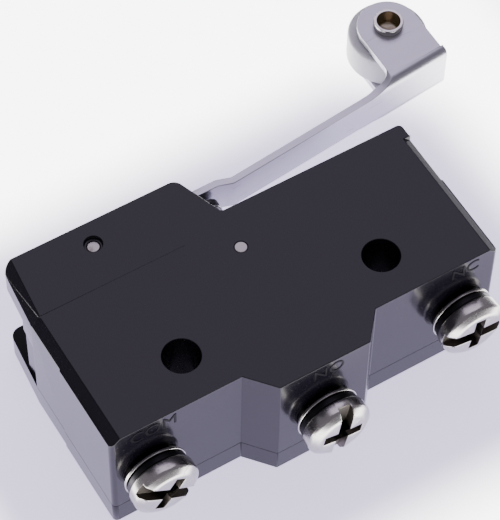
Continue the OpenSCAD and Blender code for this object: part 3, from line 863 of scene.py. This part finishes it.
class DressScrews(bpy.types.Operator):
    """Makes the three terminal screws with their slot, cross and thread, and the washers under them"""
    bl_idname = "switch.dress_screws"
    bl_label = "Terminal Screws"

    def execute(self, context):
        settings = context.scene.switch_screw
        nickel = context.scene.switch_metal.nickel
        head = plated(
            "screw_nickel", tint(nickel, 0.74)[:3], 0.24, stain=(0.50, 0.44, 0.40), stain_share=0.3
        )
        # Painted shade: the faces cut for the slot and the cross get a dark finish with near-black stains,
        # in place of the shade in the recess.
        slot_shade = plated(
            "slot_painted_shade", (0.13, 0.115, 0.10), 0.42, stain=(0.05, 0.04, 0.03), stain_share=0.7
        )
        dark = plated("lock_steel", (0.05, 0.048, 0.052), 0.34, stain=(0.02, 0.02, 0.02), stain_share=0.6)
        washer = plated("washer_nickel", tint(nickel, 0.92)[:3], 0.24)
        tree = thread_tree()
        for terminal in TERMINALS:
            self.make_screw(terminal, settings, head, slot_shade, tree)
            self.make_lock_washer(terminal, dark)
            self.make_washer(terminal, washer)
        return {"FINISHED"}

    def make_screw(self, terminal, settings, material, slot_shade, tree):
        """Turned about local Z, which points out of the head from the seat under it."""
        node = terminal + "_screw"
        low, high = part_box(node)
        centre = middle(node)
        radius = (high.x - low.x) / 2
        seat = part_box(terminal + "_lock_washer")[0].y
        head = seat - low.y
        shank = high.y - seat
        core = settings.core
        profile = filleted([
            (0, -shank, 0), (core - 0.5 * MM, -shank, 0.1 * MM), (core, -shank + 0.5 * MM, 0.1 * MM),
            (core, 0, 0.05 * MM), (radius, 0, 0.2 * MM), (radius, 0.66 * head, 0.5 * MM),
            (0.76 * radius, 0.95 * head, 1.0 * MM), (0, head, 0),
        ])
        body = object_from("screw_source", lathe("screw_source", profile, Matrix.Identity(4)), material)
        cutters = [
            self.cutter((2 * radius + 2 * MM, settings.slot_width, head), 0.46 * head, slot_shade),
            self.cutter((settings.cross_width, 1.22 * radius, head), 0.30 * head, slot_shade),
        ]
        for index, cutter in enumerate(cutters):
            cut = body.modifiers.new("Cut%d" % index, "BOOLEAN")
            cut.object = cutter
            cut.solver = "EXACT"
            cut.material_mode = "TRANSFER"
        bevel = body.modifiers.new("Edges", "BEVEL")
        bevel.width = 0.09 * MM
        bevel.segments = 2
        bevel.limit_method = "ANGLE"
        bevel.angle_limit = math.radians(40)
        bevel.use_clamp_overlap = False
        mesh = evaluated(node + "_finished", body)
        for cutter in cutters:
            bpy.data.objects.remove(cutter)
        place = facing_out(centre.x, seat, centre.z, SCREW_TURNS[terminal])
        thread = tree.mesh(terminal + "_thread", {
            "Radius": core - 0.05 * MM, "Depth": 0.14 * MM, "Pitch": settings.pitch,
            "Length": shank - 1.2 * MM, "Material": material,
        })
        thread.transform(Matrix.Translation((0, 0, -shank + 0.7 * MM)))
        mesh.transform(place)
        thread.transform(place)
        smooth(mesh, 35)
        stands_for(mesh, node, None)
        carried(thread, node, material)

    def cutter(self, size, base, material):
        """A block of a size that stands on local Z = base."""
        def build(work):
            bmesh.ops.create_cube(work, size=1)
            bmesh.ops.scale(work, verts=work.verts, vec=size)
            bmesh.ops.translate(work, verts=work.verts, vec=(0, 0, base + size[2] / 2))

        made = object_from("cutter", mesh_from("cutter", build), material)
        made.hide_render = True
        return made

    def make_lock_washer(self, terminal, material):
        """A split ring that rises a little from one end to the other."""
        node = terminal + "_lock_washer"
        low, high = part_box(node)
        centre = middle(node)
        outer = (high.x - low.x) / 2
        inner = 2.1 * MM
        thick = high.y - low.y
        gap = math.radians(9)
        start = math.radians(LOCK_GAPS[terminal])
        steps = 90
        lift = 0.16 * thick
        bevel = 0.12 * MM
        section = [
            (inner, bevel), (inner, thick - bevel - lift), (inner + bevel, thick - lift),
            (outer - bevel, thick - lift), (outer, thick - bevel - lift), (outer, bevel),
            (outer - bevel, 0), (inner + bevel, 0),
        ]

        def build(work):
            rings = []
            for step in range(steps + 1):
                share = step / steps
                angle = start + gap / 2 + (2 * math.pi - gap) * share
                rise = lift * share
                rings.append([
                    work.verts.new((r * math.cos(angle), r * math.sin(angle), h + rise)) for r, h in section
                ])
            for before, after in zip(rings, rings[1:]):
                for k in range(len(section)):
                    n = (k + 1) % len(section)
                    work.faces.new((before[k], before[n], after[n], after[k]))
            work.faces.new(rings[0])
            work.faces.new(rings[-1])
        mesh = mesh_from(node + "_finished", build)
        mesh.transform(facing_out(centre.x, high.y, centre.z))
        smooth(mesh)
        stands_for(mesh, node, material)

    def make_washer(self, terminal, material):
        """A flat ring, chamfered on the side towards the case so that only a thin rim shows."""
        node = terminal + "_washer"
        low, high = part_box(node)
        centre = middle(node)
        outer = (high.x - low.x) / 2
        inner = 2.05 * MM
        thick = high.y - low.y
        rim = 0.3 * MM
        profile = filleted([
            (inner, 0, 0), (outer - 0.45 * MM, 0, 0.1 * MM), (outer, thick - rim, 0.08 * MM),
            (outer, thick, 0.1 * MM), (inner, thick, 0.08 * MM), (inner, 0.01 * MM, 0),
        ])
        place = facing_out(centre.x, high.y, centre.z)
        stands_for(lathe(node + "_finished", profile, place, closed=True), node, material)


# ---------- stage ----------

class SetStage(bpy.types.Operator):
    """Sets the pale floor, the soft light and the camera"""
    bl_idname = "switch.set_stage"
    bl_label = "Stage"

    def execute(self, context):
        settings = context.scene.switch_stage
        self.make_floor(settings)
        self.make_light(context, settings)
        self.make_camera(context, settings)
        return {"FINISHED"}

    def make_floor(self, settings):
        """A pale floor that glows round the switch as a painted pool of light, its glow lowered next to it
        as a painted soft shadow, and dim far away.
        """
        def build(work):
            bmesh.ops.create_grid(work, x_segments=1, y_segments=1, size=3)

        made = Finish("floor_white", Emission_Strength=settings.glow)
        low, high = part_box("back_cover")
        centre = (low + high) / 2
        half = (high - low) / 2
        flat = made.stretched((1, 1, 0), centre)
        folded = made.node("ShaderNodeVectorMath", {0: flat}, operation="ABSOLUTE")
        beyond = made.node("ShaderNodeVectorMath", {0: folded, 1: half}, operation="SUBTRACT")
        outside = made.node("ShaderNodeVectorMath", {0: beyond, 1: (0, 0, 0)}, operation="MAXIMUM")
        distance = made.length(outside)
        # Painted shadow: within NEAR_SHADE of the cover the glow is lowered to a dim lavender.
        glow = made.mix(distance.step(*NEAR_SHADE), NEAR_GLOW, (1, 1, 1, 1))
        glow = made.mix(distance.step(*FAR_FADE), glow, FAR_GLOW)
        glow = made.mix(made.axis("X").step(*RIGHT_FADE), glow, FAR_GLOW)
        cloud = made.noise(0.002, 2)
        white = made.mix(cloud, (0.86, 0.86, 0.86, 1), (0.88, 0.88, 0.88, 1))
        material = made.wear(white, 0.7 + cloud * 0.1, glow=glow)
        object_from("floor", mesh_from("floor", build), material)

    def make_light(self, context, settings):
        """A dim, slightly violet room and one large softbox, which the switch's front face mirrors."""
        world = bpy.data.worlds.new("studio")
        context.scene.world = world
        world.use_nodes = True
        sky = world.node_tree.nodes["Background"]
        sky.inputs["Color"].default_value = (0.97, 0.92, 1.08, 1)
        sky.inputs["Strength"].default_value = settings.sky
        lamp = bpy.data.lights.new("softbox", "AREA")
        lamp.shape = "SQUARE"
        lamp.size = 0.45
        lamp.energy = settings.lamp
        lamp.color = (0.95, 0.84, 1.12)
        holder = bpy.data.objects.new("softbox", lamp)
        context.scene.collection.objects.link(holder)
        place = Vector((0.145, 0.233, 0.417))
        holder.location = place
        holder.rotation_euler = (-place).to_track_quat("-Z", "Y").to_euler()

    def make_camera(self, context, settings):
        back = Vector((
            math.sin(settings.azimuth) * math.cos(settings.elevation),
            -math.cos(settings.azimuth) * math.cos(settings.elevation),
            math.sin(settings.elevation),
        ))
        level = Vector((math.cos(settings.azimuth), math.sin(settings.azimuth), 0))
        rise = back.cross(level)
        right = level * math.cos(settings.roll) + rise * math.sin(settings.roll)
        up = back.cross(right)
        camera = bpy.data.cameras.new("camera")
        camera.lens = settings.lens
        camera.sensor_width = 36
        camera.clip_start = 0.01
        holder = bpy.data.objects.new("camera", camera)
        context.scene.collection.objects.link(holder)
        turn = Matrix((right, up, back)).transposed().to_4x4()
        holder.matrix_world = Matrix.Translation(Vector(settings.aim) + back * settings.distance) @ turn
        context.scene.camera = holder


# ---------- add-on ----------

STEPS = (
    DressHousing, AddTerminalMarks, DressPins, DressLever, DressRoller,
    DressPlunger, DressContacts, DressScrews, SetStage,
)


class SwitchPanel(bpy.types.Panel):
    """Lists the steps that finish the switch"""
    bl_idname = "VIEW3D_PT_switch"
    bl_label = "Lever Switch"
    bl_space_type = "VIEW_3D"
    bl_region_type = "UI"
    bl_category = "Switch"

    def draw(self, context):
        for step in STEPS:
            self.layout.operator(step.bl_idname)


SETTINGS = {
    "switch_housing": HousingSettings,
    "switch_metal": MetalSettings,
    "switch_screw": ScrewSettings,
    "switch_spring": SpringSettings,
    "switch_stage": StageSettings,
}


def register():
    for name, group in SETTINGS.items():
        bpy.utils.register_class(group)
        setattr(bpy.types.Scene, name, PointerProperty(type=group))
    for item in (*STEPS, SwitchPanel):
        bpy.utils.register_class(item)


def unregister():
    for item in (SwitchPanel, *reversed(STEPS)):
        bpy.utils.unregister_class(item)
    for name, group in SETTINGS.items():
        delattr(bpy.types.Scene, name)
        bpy.utils.unregister_class(group)


def main():
    register()
    for step in STEPS:
        area, name = step.bl_idname.split(".")
        getattr(getattr(bpy.ops, area), name)()


if __name__ == "__main__":
    main()
